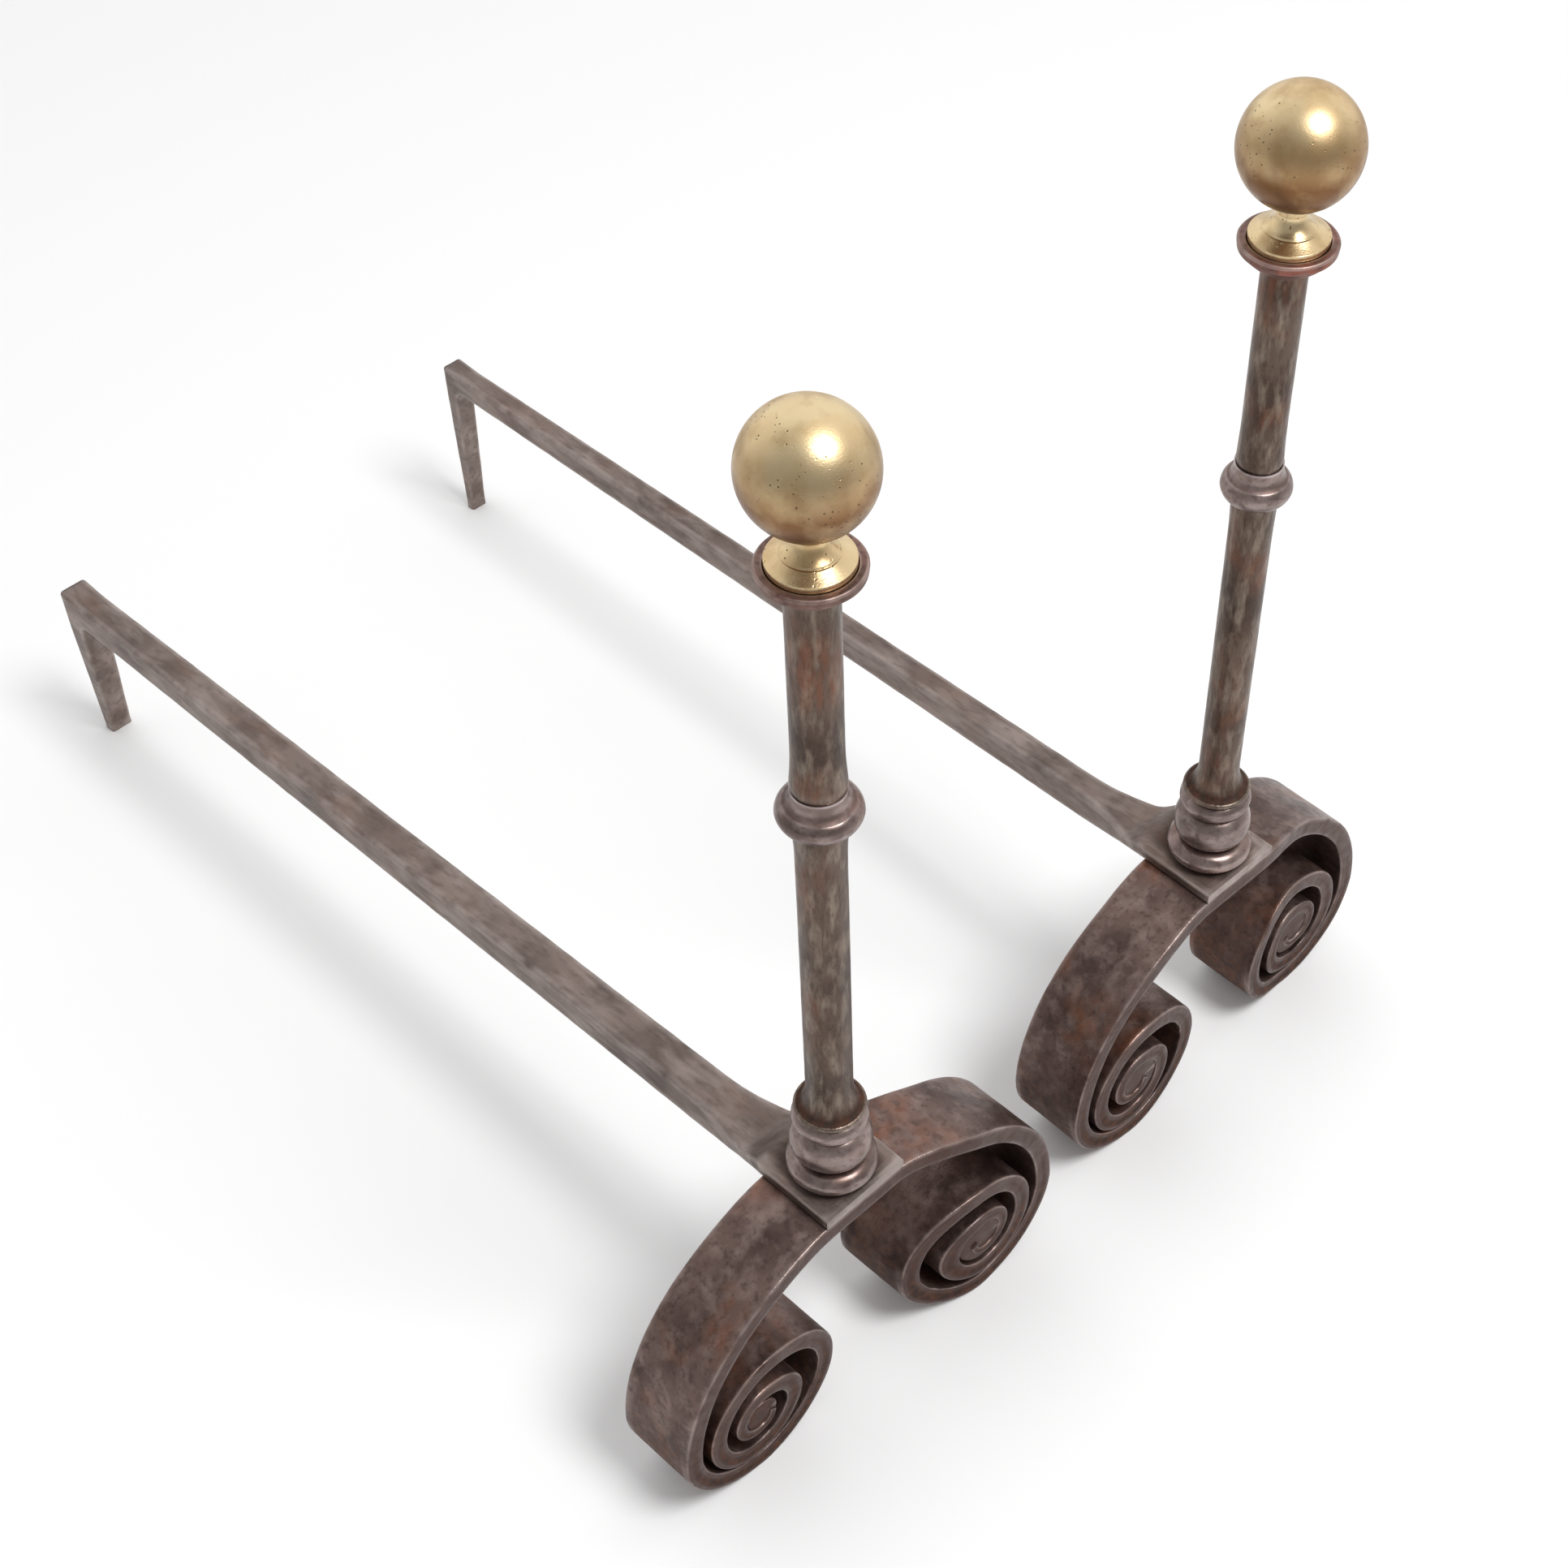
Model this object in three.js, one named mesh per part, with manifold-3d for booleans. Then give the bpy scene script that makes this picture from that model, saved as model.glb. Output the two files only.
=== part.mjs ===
// A pair of wrought iron andirons with brass ball finials, in millimetres, +Z up.
// Each one is a flat strap bent into an arch on two scrolled feet, a billet bar that runs back along +Y
// to its own rear leg, and a round post, whose tenon holds the bar's pad down on the arch.
// Inside the code an andiron stands on z = 0 with its post on the Z axis and its front towards -Y.
import * as THREE from 'three';
import { mergeVertices } from 'three/addons/utils/BufferGeometryUtils.js';
import Module from 'manifold-3d';

const wasm = await Module();
wasm.setup();

// ---------------------------------------------------------------- driving dimensions

// Fits
const boreClearance = 0.3; // round every bore, between it and what passes through

// Strap: an arch whose two ends roll in to a solid eye
const strapWidth = 43;
const strapThickness = 10.5;
const strapCorner = 1.8;
const archHeight = 142;
const archFlat = 40;
const legSpread = 231;
const scrollRadius = 50.5; // of the outer face, from the eye to the leg
const coilGap = 6.5;
const coilTurns = 2.45;
const tipThickness = 4.7; // at the strap's end, inside the eye
const tipTurns = 0.95; // how much of the coil the strap thins over
const openEye = 9.5; // radius of an eye with a gap all round it
const tightEye = 15.2; // radius of an eye that the coil closes on
const eyeInset = 0.8; // from the strap's edge back to the face of the eye
const footWear = 0.4; // depth of the flat where a scroll stands

// Post: a round bar with a flared shoulder, riveted below and drilled above
const postRise = 303.5; // shoulder to the seat of the cup
const shoulderDiameter = 33;
const shoulderEdge = 3;
const flareHeight = 18;
const tenonDiameter = 16;
const rivetDiameter = 25;
const rivetHeight = 4.5;
const washerDiameter = 34;
const washerThickness = 3;

// Rings stacked on the tenon, from the pad up
const lowerRing = { diameter: 42, height: 12 };
const torusRing = { diameter: 38, height: 21.5 };
const upperRing = { diameter: 35, height: 11 };
const ringGroove = 4.5; // how far a ring draws in where it meets the next

// Collar half way up the post: a bead, undercut below, that sweeps up to a thin lip
const collarRise = 189.8; // shoulder to the widest part of the bead
const collarBelow = 5.6; // widest part to the underside
const collarAbove = 6.2; // widest part to the foot of the sweep
const collarSweep = 7;
const collarStep = 1.3; // from the post out to where the bead starts
const collarLip = 0.7;
const collarShoulder = Math.PI / 3; // angle at which the bead turns in to the sweep

// Cup on top of the post
const cupDiameter = 41.6;
const cupHeight = 12;
const cupRimWidth = 3.8;
const cupRimHeight = 3;
const cupRecess = 4.7;
const cupNeckDiameter = 22.4;
const cupBelly = { diameter: 34.6, rise: 3.2 }; // where the two tangents of the bowl's curve cross

// Brass saucer and ball, held by a stud
const saucerRim = 7.2;
const saucerRise = 10.1; // rim to the narrowest part of the neck
const saucerNeck = 12.4;
const saucerLip = 14;
const ballDiameter = 51;
const ballSeat = 20.7; // saucer's foot to the lowest point of the ball
const studDiameter = 8;
const studInPost = 20;
const studInBall = 15;

// Billet bar: a pad on the arch, a joggle down behind it, a tapered bar and a rear leg
const padLength = 49;
const padThickness = 6;
const padCorner = 1.2;
const joggleLength = 24;
const barFall = 22.4; // drop of the bar's top from the end of the joggle to the rear
const barCorner = 3;
const barReach = 618; // post's axis to the back of the leg
const legTop = { width: 1, depth: 0.65 }; // as shares of the bar's rear end
const legFoot = { width: 0.78, depth: 0.45 };
const legCorner = 1.6;
const legFillet = 9;

// What the smith left different between the two. The bar's drop is from the pad's top to the bar's top
const nearForging = {
  postDiameter: 21.2,
  collarDiameter: 35.6,
  barFront: { width: 22, depth: 20.5 },
  barRear: { width: 17.5, depth: 18.5 },
  barDrop: 16.6,
  eyes: { left: openEye, right: tightEye },
};
const farForging = {
  postDiameter: 19.8,
  collarDiameter: 32,
  barFront: { width: 16.5, depth: 18.5 },
  barRear: { width: 14.2, depth: 14.6 },
  barDrop: 12.8,
  eyes: { left: tightEye, right: tightEye },
};

// The pair as it stands
const pairSpacing = 266.3;
const pairStagger = 0.5;
const pairSplay = THREE.MathUtils.degToRad(1.3);

// Fineness of the facets
const roundSides = 24;
const studSides = 12;
const arcSteps = 3; // in a quarter of a moulding
const ballSteps = 6; // in a quarter of the ball
const shoulderSteps = 9;
const coilSteps = 20; // in one turn
const joggleSteps = 6;
const elbowSteps = 4; // on each side of the elbow's corner
const mergeDistance = 1e-4; // points closer than this are one

// ---------------------------------------------------------------- worked out from them

const scrollPitch = strapThickness + coilGap;
const eyeHeight = scrollRadius - scrollPitch / 4 - footWear;
const eyeReach = legSpread / 2 - scrollRadius;
const strapUnderside = archHeight - strapThickness;
const padTop = archHeight + padThickness;
const tenonBore = tenonDiameter / 2 + boreClearance;
const torusFoot = padTop + lowerRing.height;
const upperFoot = torusFoot + torusRing.height;
const shoulderHeight = upperFoot + upperRing.height;
const cupFoot = shoulderHeight + postRise;
const saucerFoot = cupFoot + cupHeight - cupRecess;
const saucerRadius = cupDiameter / 2 - cupRimWidth - boreClearance;
const ballCentre = saucerFoot + ballSeat + ballDiameter / 2;
const studBore = studDiameter / 2 + boreClearance;
const studFoot = cupFoot - studInPost;
const studTop = saucerFoot + ballSeat + studInBall;

// ---------------------------------------------------------------- materials

const iron = new THREE.MeshStandardMaterial({ color: 0x6b5f5b, roughness: 0.62, metalness: 0.85 });
const wornIron = new THREE.MeshStandardMaterial({ color: 0x7a6a66, roughness: 0.5, metalness: 0.85 });
const brass = new THREE.MeshStandardMaterial({ color: 0xc3a472, roughness: 0.34, metalness: 1 });

// ---------------------------------------------------------------- ways of making a solid

// A solid for cutting and joining, from a closed geometry
function toSolid(geometry) {
  geometry.deleteAttribute('normal');
  geometry.deleteAttribute('uv');
  const merged = mergeVertices(geometry, mergeDistance);
  const triVerts = Uint32Array.from(merged.index.array);
  const vertProperties = merged.attributes.position.array;
  return new wasm.Manifold(new wasm.Mesh({ numProp: 3, vertProperties, triVerts }));
}

function toGeometry(solid) {
  const { vertProperties, triVerts } = solid.getMesh();
  const geometry = new THREE.BufferGeometry();
  geometry.setAttribute('position', new THREE.BufferAttribute(vertProperties, 3));
  geometry.setIndex(new THREE.BufferAttribute(triVerts, 1));
  geometry.computeVertexNormals();
  return geometry;
}

// A turned piece: its profile runs from its lowest point on the axis, or round and back to its start
function turned(profile, sides = roundSides, steps = arcSteps) {
  const geometry = new THREE.LatheGeometry(profile.getPoints(steps), sides);
  geometry.rotateX(Math.PI / 2);
  return geometry;
}

// A straight bore up the Z axis
function bore(radius, bottom, top) {
  const geometry = new THREE.CylinderGeometry(radius, radius, top - bottom, roundSides);
  geometry.rotateX(Math.PI / 2);
  geometry.translate(0, 0, (bottom + top) / 2);
  return toSolid(geometry);
}

// The outline of a bar where it is cut across: a rectangle with its four corners taken off,
// counterclockwise about the way the bar runs, which is across x outward
function barOutline({ centre, across, outward, width, depth, corner }) {
  const halfWidth = width / 2;
  const halfDepth = depth / 2;
  const quarter = [[halfWidth, halfDepth - corner], [halfWidth - corner, halfDepth]];
  const mirrored = quarter.map(([u, v]) => [-u, v]).reverse();
  const outerHalf = [...quarter, ...mirrored];
  const innerHalf = outerHalf.map(([u, v]) => [-u, -v]);
  return [...outerHalf, ...innerHalf].map(([u, v]) =>
    centre.clone().addScaledVector(across, u).addScaledVector(outward, v));
}

// A closed solid through a row of outlines with as many points each, flat at both ends
function loft(outlines) {
  const count = outlines[0].length;
  const index = [];
  for (let row = 0; row < outlines.length - 1; row++) {
    for (let i = 0; i < count; i++) {
      const a = row * count + i;
      const b = row * count + (i + 1) % count;
      index.push(a, b, b + count, a, b + count, a + count);
    }
  }
  const last = (outlines.length - 1) * count;
  for (let i = 1; i < count - 1; i++) {
    index.push(0, i + 1, i);
    index.push(last, last + i, last + i + 1);
  }
  const geometry = new THREE.BufferGeometry().setFromPoints(outlines.flat());
  geometry.setIndex(index);
  geometry.computeVertexNormals();
  return geometry;
}

// ---------------------------------------------------------------- strap with scrolled feet

const strapAcross = new THREE.Vector3(0, 1, 0);

// One place along the strap, from its outer face and the direction square to that face
function strapStation([x, z], [normalX, normalZ], thickness) {
  const outward = new THREE.Vector3(normalX, 0, normalZ).normalize();
  const centre = new THREE.Vector3(x, 0, z).addScaledVector(outward, -thickness / 2);
  return { centre, outward, thickness };
}

// Half the strap, from the end of the flat on top: a quarter ellipse down to the leg, then the coil
function halfStrap() {
  const reach = legSpread / 2 - archFlat / 2;
  const drop = archHeight - eyeHeight;
  const stations = [];
  for (let step = 0; step < shoulderSteps; step++) {
    const angle = (Math.PI / 2) * (1 - step / shoulderSteps);
    const face = [archFlat / 2 + reach * Math.cos(angle), eyeHeight + drop * Math.sin(angle)];
    const normal = [Math.cos(angle) / reach, Math.sin(angle) / drop];
    stations.push(strapStation(face, normal, strapThickness));
  }
  const steps = Math.round(coilTurns * coilSteps);
  const inset = scrollPitch / (2 * Math.PI); // fall of the radius for each radian
  for (let step = 0; step <= steps; step++) {
    const turn = (coilTurns * step) / steps;
    const cos = Math.cos(2 * Math.PI * turn);
    const sin = Math.sin(2 * Math.PI * turn);
    const radius = scrollRadius - scrollPitch * turn;
    const thinned = Math.max(0, 1 - (coilTurns - turn) / tipTurns);
    const thickness = THREE.MathUtils.lerp(strapThickness, tipThickness, thinned);
    const face = [eyeReach + radius * cos, eyeHeight - radius * sin];
    const normal = [radius * cos + inset * sin, inset * cos - radius * sin];
    stations.push(strapStation(face, normal, thickness));
  }
  return stations;
}

// The round solid eye that the end of the strap is forged into
function strapEye(side, radius) {
  const eyeLength = strapWidth - 2 * eyeInset;
  const geometry = new THREE.CylinderGeometry(radius, radius, eyeLength, roundSides);
  geometry.translate(side * eyeReach, 0, eyeHeight);
  return toSolid(geometry);
}

function scrollArch({ eyes }) {
  const right = halfStrap();
  const mirror = new THREE.Vector3(-1, 1, 1);
  const left = right.map(({ centre, outward, thickness }) => ({
    centre: centre.clone().multiply(mirror),
    outward: outward.clone().multiply(mirror),
    thickness,
  }));
  const stations = [...left.reverse(), ...right];
  const outlines = stations.map(({ centre, outward, thickness }) => barOutline({
    centre,
    across: strapAcross,
    outward,
    width: strapWidth,
    depth: thickness,
    corner: strapCorner,
  }));
  let solid = toSolid(loft(outlines));
  solid = solid.add(strapEye(-1, eyes.left)).add(strapEye(1, eyes.right));
  solid = solid.subtract(bore(tenonBore, strapUnderside - strapThickness, archHeight + strapThickness));
  const wear = new THREE.BoxGeometry(2 * legSpread, 2 * strapWidth, scrollRadius);
  wear.translate(0, 0, -scrollRadius / 2);
  return toGeometry(solid.subtract(toSolid(wear)));
}

// ---------------------------------------------------------------- billet bar with pad and rear leg

const barAcross = new THREE.Vector3(-1, 0, 0);

// An outline of the bar between a point of its inner side and one of its outer side, in the YZ plane
function barStation([innerY, innerZ], [outerY, outerZ], width, corner) {
  const inner = new THREE.Vector3(0, innerY, innerZ);
  const outer = new THREE.Vector3(0, outerY, outerZ);
  const outward = outer.clone().sub(inner).normalize();
  const centre = inner.clone().add(outer).multiplyScalar(0.5);
  return barOutline({
    centre,
    across: barAcross,
    outward,
    width,
    depth: inner.distanceTo(outer),
    corner,
  });
}

function billetBar({ barFront, barRear, barDrop }) {
  const { lerp, smoothstep } = THREE.MathUtils;
  const joggleStart = strapWidth / 2 + boreClearance;
  const joggleEnd = joggleStart + joggleLength;
  const frontTop = padTop - barDrop;
  const rearTop = frontTop - barFall;
  const rearUnderside = rearTop - barRear.depth;
  const outlines = [];

  outlines.push(barStation([-strapWidth / 2, archHeight], [-strapWidth / 2, padTop], padLength, padCorner));
  for (let step = 0; step <= joggleSteps; step++) {
    const share = step / joggleSteps;
    const eased = smoothstep(share, 0, 1);
    const y = lerp(joggleStart, joggleEnd, share);
    const top = lerp(padTop, frontTop, eased);
    const underside = lerp(archHeight, frontTop - barFront.depth, eased);
    const width = lerp(padLength, barFront.width, Math.sqrt(share));
    outlines.push(barStation([y, underside], [y, top], width, lerp(padCorner, barCorner, share)));
  }

  // The elbow: every outline turns about the middle of the inner fillet and reaches out to the bar's
  // top or to the back of the leg, so the outer corner stays square
  const topWidth = barRear.width * legTop.width;
  const topDepth = barRear.depth * legTop.depth;
  const filletY = barReach - topDepth - legFillet;
  const filletZ = rearUnderside - legFillet;
  const across = barReach - filletY;
  const rise = rearTop - filletZ;
  const cornerAngle = Math.atan2(rise, across);
  const angles = [];
  for (let step = 0; step <= elbowSteps; step++) {
    angles.push(lerp(Math.PI / 2, cornerAngle, step / elbowSteps));
  }
  for (let step = 1; step <= elbowSteps; step++) {
    angles.push(lerp(cornerAngle, 0, step / elbowSteps));
  }
  for (const angle of angles) {
    const direction = [Math.cos(angle), Math.sin(angle)];
    const length = angle >= cornerAngle ? rise / direction[1] : across / direction[0];
    const inner = [filletY + legFillet * direction[0], filletZ + legFillet * direction[1]];
    const outer = [filletY + length * direction[0], filletZ + length * direction[1]];
    const turnedShare = 1 - angle / (Math.PI / 2);
    const width = lerp(barRear.width, topWidth, turnedShare);
    outlines.push(barStation(inner, outer, width, lerp(barCorner, legCorner, turnedShare)));
  }

  const footDepth = barRear.depth * legFoot.depth;
  const footWidth = barRear.width * legFoot.width;
  outlines.push(barStation([barReach - footDepth, 0], [barReach, 0], footWidth, legCorner));
  const bar = toSolid(loft(outlines));
  return toGeometry(bar.subtract(bore(tenonBore, strapUnderside, padTop + padThickness)));
}

// ---------------------------------------------------------------- turned pieces

// The post with its rivet head below the arch, its flared shoulder and the hole for the stud
function postShaft({ postDiameter }) {
  const washerFoot = strapUnderside - washerThickness;
  const radius = postDiameter / 2;
  const edgeTop = shoulderHeight + shoulderEdge;
  const flareRun = shoulderDiameter / 2 - radius;
  const profile = new THREE.Path();
  profile.moveTo(0, washerFoot - rivetHeight);
  profile.absellipse(0, washerFoot, rivetDiameter / 2, rivetHeight, -Math.PI / 2, 0, false);
  profile.lineTo(tenonDiameter / 2, washerFoot);
  profile.lineTo(tenonDiameter / 2, shoulderHeight);
  profile.lineTo(shoulderDiameter / 2, shoulderHeight);
  profile.lineTo(shoulderDiameter / 2, edgeTop);
  const flareTop = shoulderHeight + flareHeight;
  const flareRise = flareHeight - shoulderEdge;
  profile.absellipse(shoulderDiameter / 2, flareTop, flareRun, flareRise, -Math.PI / 2, -Math.PI, true);
  profile.lineTo(radius, cupFoot);
  profile.lineTo(studBore, cupFoot);
  profile.lineTo(studBore, studFoot);
  profile.lineTo(0, studFoot);
  return turned(profile);
}

// A ring with a rounded rim that draws in where it meets its neighbours
function ring({ diameter, height }, foot, boreRadius) {
  const grooveRadius = diameter / 2 - ringGroove;
  const profile = new THREE.Path();
  profile.moveTo(boreRadius, foot);
  profile.lineTo(grooveRadius, foot);
  const middle = foot + height / 2;
  profile.absellipse(grooveRadius, middle, ringGroove, height / 2, -Math.PI / 2, Math.PI / 2, false);
  profile.lineTo(boreRadius, foot + height);
  profile.lineTo(boreRadius, foot);
  return turned(profile);
}

// The collar: a bead with a flat underside, drawn up to a thin lip on the post
function midCollar({ postDiameter, collarDiameter }) {
  const middle = shoulderHeight + collarRise;
  const boreRadius = postDiameter / 2 + boreClearance;
  const lipRadius = boreRadius + collarLip;
  const beadFoot = boreRadius + collarStep;
  const bulge = collarDiameter / 2 - beadFoot;
  const underside = middle - collarBelow;
  const sweepFoot = middle + collarAbove;
  const sweepTop = sweepFoot + collarSweep;
  const profile = new THREE.Path();
  profile.moveTo(boreRadius, underside);
  profile.lineTo(beadFoot, underside);
  profile.absellipse(beadFoot, middle, bulge, collarBelow, -Math.PI / 2, 0, false);
  profile.absellipse(beadFoot, middle, bulge, collarAbove, 0, collarShoulder, false);
  profile.quadraticCurveTo(lipRadius, sweepFoot, lipRadius, sweepTop);
  profile.lineTo(boreRadius, sweepTop);
  profile.lineTo(boreRadius, underside);
  return turned(profile);
}

// The cup: a shallow bowl that opens from the post to a rounded rim, with a recess for the saucer
function cup() {
  const rimTop = cupFoot + cupHeight;
  const bowlTop = rimTop - cupRimHeight;
  const neckRadius = cupNeckDiameter / 2;
  const rimRadius = cupDiameter / 2;
  const rimSweep = cupRimWidth / 2;
  const rimRise = cupRimHeight / 2;
  const rimCentre = rimRadius - rimSweep;
  const rimMiddle = rimTop - rimRise;
  const profile = new THREE.Path();
  profile.moveTo(studBore, cupFoot);
  profile.lineTo(neckRadius, cupFoot);
  profile.quadraticCurveTo(cupBelly.diameter / 2, cupFoot + cupBelly.rise, rimCentre, bowlTop);
  profile.absellipse(rimCentre, rimMiddle, rimSweep, rimRise, -Math.PI / 2, Math.PI / 2, false);
  profile.lineTo(rimRadius - cupRimWidth, rimTop);
  profile.lineTo(rimRadius - cupRimWidth, saucerFoot);
  profile.lineTo(studBore, saucerFoot);
  profile.lineTo(studBore, cupFoot);
  return turned(profile);
}

// The saucer: a disc in the cup's recess that sweeps up to a neck, hollowed on top to seat the ball
function finialSaucer() {
  const rimHeight = saucerFoot + saucerRim;
  const neckHeight = rimHeight + saucerRise;
  const seatRadius = ballDiameter / 2 + boreClearance;
  const seatHeight = (radius) => ballCentre - Math.sqrt(seatRadius ** 2 - radius ** 2);
  const profile = new THREE.Path();
  profile.moveTo(studBore, saucerFoot);
  profile.lineTo(saucerRadius, saucerFoot);
  profile.lineTo(saucerRadius, rimHeight);
  profile.quadraticCurveTo(saucerNeck / 2, rimHeight + saucerRise / 2, saucerNeck / 2, neckHeight);
  profile.lineTo(saucerLip / 2, seatHeight(saucerLip / 2));
  profile.lineTo(studBore, seatHeight(studBore));
  profile.lineTo(studBore, saucerFoot);
  return turned(profile);
}

function finialBall() {
  const radius = ballDiameter / 2;
  const mouthAngle = Math.acos(studBore / radius);
  const profile = new THREE.Path();
  profile.moveTo(0, studTop + boreClearance);
  profile.lineTo(studBore, studTop + boreClearance);
  profile.absarc(0, ballCentre, radius, -mouthAngle, Math.PI / 2, false);
  return turned(profile, roundSides, ballSteps);
}

// A plain round pin or washer
function disc(radius, boreRadius, foot, top) {
  const profile = new THREE.Path();
  profile.moveTo(boreRadius, foot);
  profile.lineTo(radius, foot);
  profile.lineTo(radius, top);
  profile.lineTo(boreRadius, top);
  if (boreRadius > 0) {
    profile.lineTo(boreRadius, foot);
  }
  return profile;
}

function tenonWasher() {
  return turned(disc(washerDiameter / 2, tenonBore, strapUnderside - washerThickness, strapUnderside));
}

function finialStud() {
  return turned(disc(studDiameter / 2, 0, studFoot + boreClearance, studTop), studSides);
}

// ---------------------------------------------------------------- the pair

// The pieces of one andiron, each with its material
function forgedPieces(forging) {
  return {
    scroll_arch: [scrollArch(forging), iron],
    billet_bar: [billetBar(forging), iron],
    tenon_washer: [tenonWasher(), iron],
    post_shaft: [postShaft(forging), iron],
    lower_ring: [ring(lowerRing, padTop, tenonBore), wornIron],
    torus_ring: [ring(torusRing, torusFoot, tenonBore), wornIron],
    upper_ring: [ring(upperRing, upperFoot, tenonBore), wornIron],
    mid_collar: [midCollar(forging), wornIron],
    finial_cup: [cup(), wornIron],
    finial_stud: [finialStud(), iron],
    finial_saucer: [finialSaucer(), brass],
    finial_ball: [finialBall(), brass],
  };
}

function andiron(prefix, forging) {
  const group = new THREE.Group();
  for (const [name, [geometry, material]] of Object.entries(forgedPieces(forging))) {
    const mesh = new THREE.Mesh(geometry, material);
    mesh.name = `${prefix}_${name}`;
    group.add(mesh);
  }
  return group;
}

const near = andiron('near', nearForging);
const far = andiron('far', farForging);
far.position.set(pairSpacing, pairStagger, 0);
far.rotation.z = -pairSplay;

const pair = new THREE.Group();
pair.add(near, far);

// The origin is on the floor, under the middle of the pair
const box = new THREE.Box3().setFromObject(pair, true);
const middle = box.getCenter(new THREE.Vector3());
pair.position.set(-middle.x, -middle.y, 0);

export default pair;
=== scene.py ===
# A pair of wrought iron andirons with brass ball finials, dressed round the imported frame, in metres.
# Each one is a flat strap bent into an arch on two scrolled feet, a billet bar with its own rear leg,
# and a turned post that carries a cup, a saucer and a ball.
import math
from collections import namedtuple

import bmesh
import bpy
from mathutils import Matrix, Vector, noise


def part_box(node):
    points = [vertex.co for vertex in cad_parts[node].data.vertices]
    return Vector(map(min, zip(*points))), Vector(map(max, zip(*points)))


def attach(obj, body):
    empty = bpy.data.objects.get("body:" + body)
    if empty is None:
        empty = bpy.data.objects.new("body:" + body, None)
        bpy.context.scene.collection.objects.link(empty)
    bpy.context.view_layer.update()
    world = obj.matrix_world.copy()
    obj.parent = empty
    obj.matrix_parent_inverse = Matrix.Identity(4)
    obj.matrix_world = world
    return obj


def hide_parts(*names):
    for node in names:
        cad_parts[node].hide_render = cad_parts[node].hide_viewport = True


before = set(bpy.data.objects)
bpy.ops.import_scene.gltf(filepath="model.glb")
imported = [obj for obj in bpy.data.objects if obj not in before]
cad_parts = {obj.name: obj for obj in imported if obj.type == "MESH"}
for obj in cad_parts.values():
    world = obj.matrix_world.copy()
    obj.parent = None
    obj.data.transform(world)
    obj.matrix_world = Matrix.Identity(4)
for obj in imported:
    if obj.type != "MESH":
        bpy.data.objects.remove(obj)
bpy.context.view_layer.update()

MM = 0.001

# ---------------------------------------------------------------- sizes of one andiron, in millimetres
# Its post stands on the Z axis, its front looks towards -Y, and the floor is z = 0.

# Strap
STRAP_WIDTH = 43
STRAP_THICKNESS = 10.5
STRAP_CORNER = 1.3
ARCH_HEIGHT = 142
ARCH_FLAT = 40
LEG_SPREAD = 231
SCROLL_RADIUS = 50.5
SCROLL_PITCH = 17
COIL_TURNS = 2.45
TIP_THICKNESS = 4.7
TIP_TURNS = 0.95
COIL_SETTLING = (2.8, -5.4)  # how far the inner turns lie outward and down, on the outer one
SETTLING_TURNS = (0.7, 1.2)  # where along the coil this begins and is complete
OPEN_EYE = 9.5  # radius of an eye with a gap all round it
TIGHT_EYE = 15.2  # radius of an eye that the coil closes on
EYE_INSET = 0.8
EYE_ROUNDING = 1.2
FOOT_WEAR = 0.4
EYE_HEIGHT = SCROLL_RADIUS - SCROLL_PITCH / 4 - FOOT_WEAR
EYE_REACH = LEG_SPREAD / 2 - SCROLL_RADIUS
STRAP_UNDERSIDE = ARCH_HEIGHT - STRAP_THICKNESS

# Billet bar
PAD_LENGTH = 49
PAD_THICKNESS = 6
PAD_CORNER = 1.2
PAD_TOP = ARCH_HEIGHT + PAD_THICKNESS
JOGGLE_LENGTH = 24
SPLAY_LENGTH = 62  # over which the bar widens to the pad
BAR_FALL = 22.4
BAR_CORNER = 3
BAR_REACH = 618
LEG_TOP = (1, 0.65)  # width and depth, as shares of the bar's rear end
LEG_FOOT = (0.78, 0.45)
LEG_CORNER = 1.6
LEG_FILLET = 9

# Post
POST_RISE = 303.5
SHOULDER_RADIUS = 16.5
SHOULDER_EDGE = 3
FLARE_HEIGHT = 18
SWELL_LENGTH = 11  # how far the post's swelling beside the collar runs out
TENON_RADIUS = 8
RIVET_RADIUS = 12.5
RIVET_HEIGHT = 4.5
WASHER_THICKNESS = 3
CLEARANCE = 0.3
TENON_BORE = TENON_RADIUS + CLEARANCE

# Rings on the tenon, as radius, height and how far the rim draws in to the grooves above and below
LOWER_RING = (21, 12, 6.5)
TORUS_RING = (19, 21.5, 8)
UPPER_RING = (17.5, 11, 6)
TORUS_FOOT = PAD_TOP + LOWER_RING[1]
UPPER_FOOT = TORUS_FOOT + TORUS_RING[1]
SHOULDER = UPPER_FOOT + UPPER_RING[1]

# Collar, cup and saucer
COLLAR_RISE = 189.8
COLLAR_BELOW = 5.6
COLLAR_ABOVE = 6.2
COLLAR_SWEEP = 7
COLLAR_STEP = 1.3
COLLAR_LIP = 0.7
COLLAR_LEAN = 0.84  # how near the bead's underside keeps to its corner
COLLAR_ROUND = 60  # degrees of the bead's top before the sweep leaves it
COLLAR_MIDDLE = SHOULDER + COLLAR_RISE
CUP_FOOT = SHOULDER + POST_RISE
CUP_RADIUS = 20.8
CUP_HEIGHT = 12
CUP_RIM = (3.8, 4)
CUP_LEDGE = 1.6  # from the bowl out to the rim
CUP_BELLY = 3  # how far the bowl's round keeps from its corner
CUP_LEAN = 0.4  # of the rim's side, which opens upward
CUP_ARRIS = (0.7, 0.9)  # width and height taken off the rim's outer edge
CUP_RECESS = 4.7
CUP_NECK = 11.2
SAUCER_FOOT = CUP_FOOT + CUP_HEIGHT - CUP_RECESS
SAUCER_RADIUS = CUP_RADIUS - CUP_RIM[0] - CLEARANCE
SAUCER_RIM = 7.2
SAUCER_RISE = 10.1
SAUCER_NECK = 6.2
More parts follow.
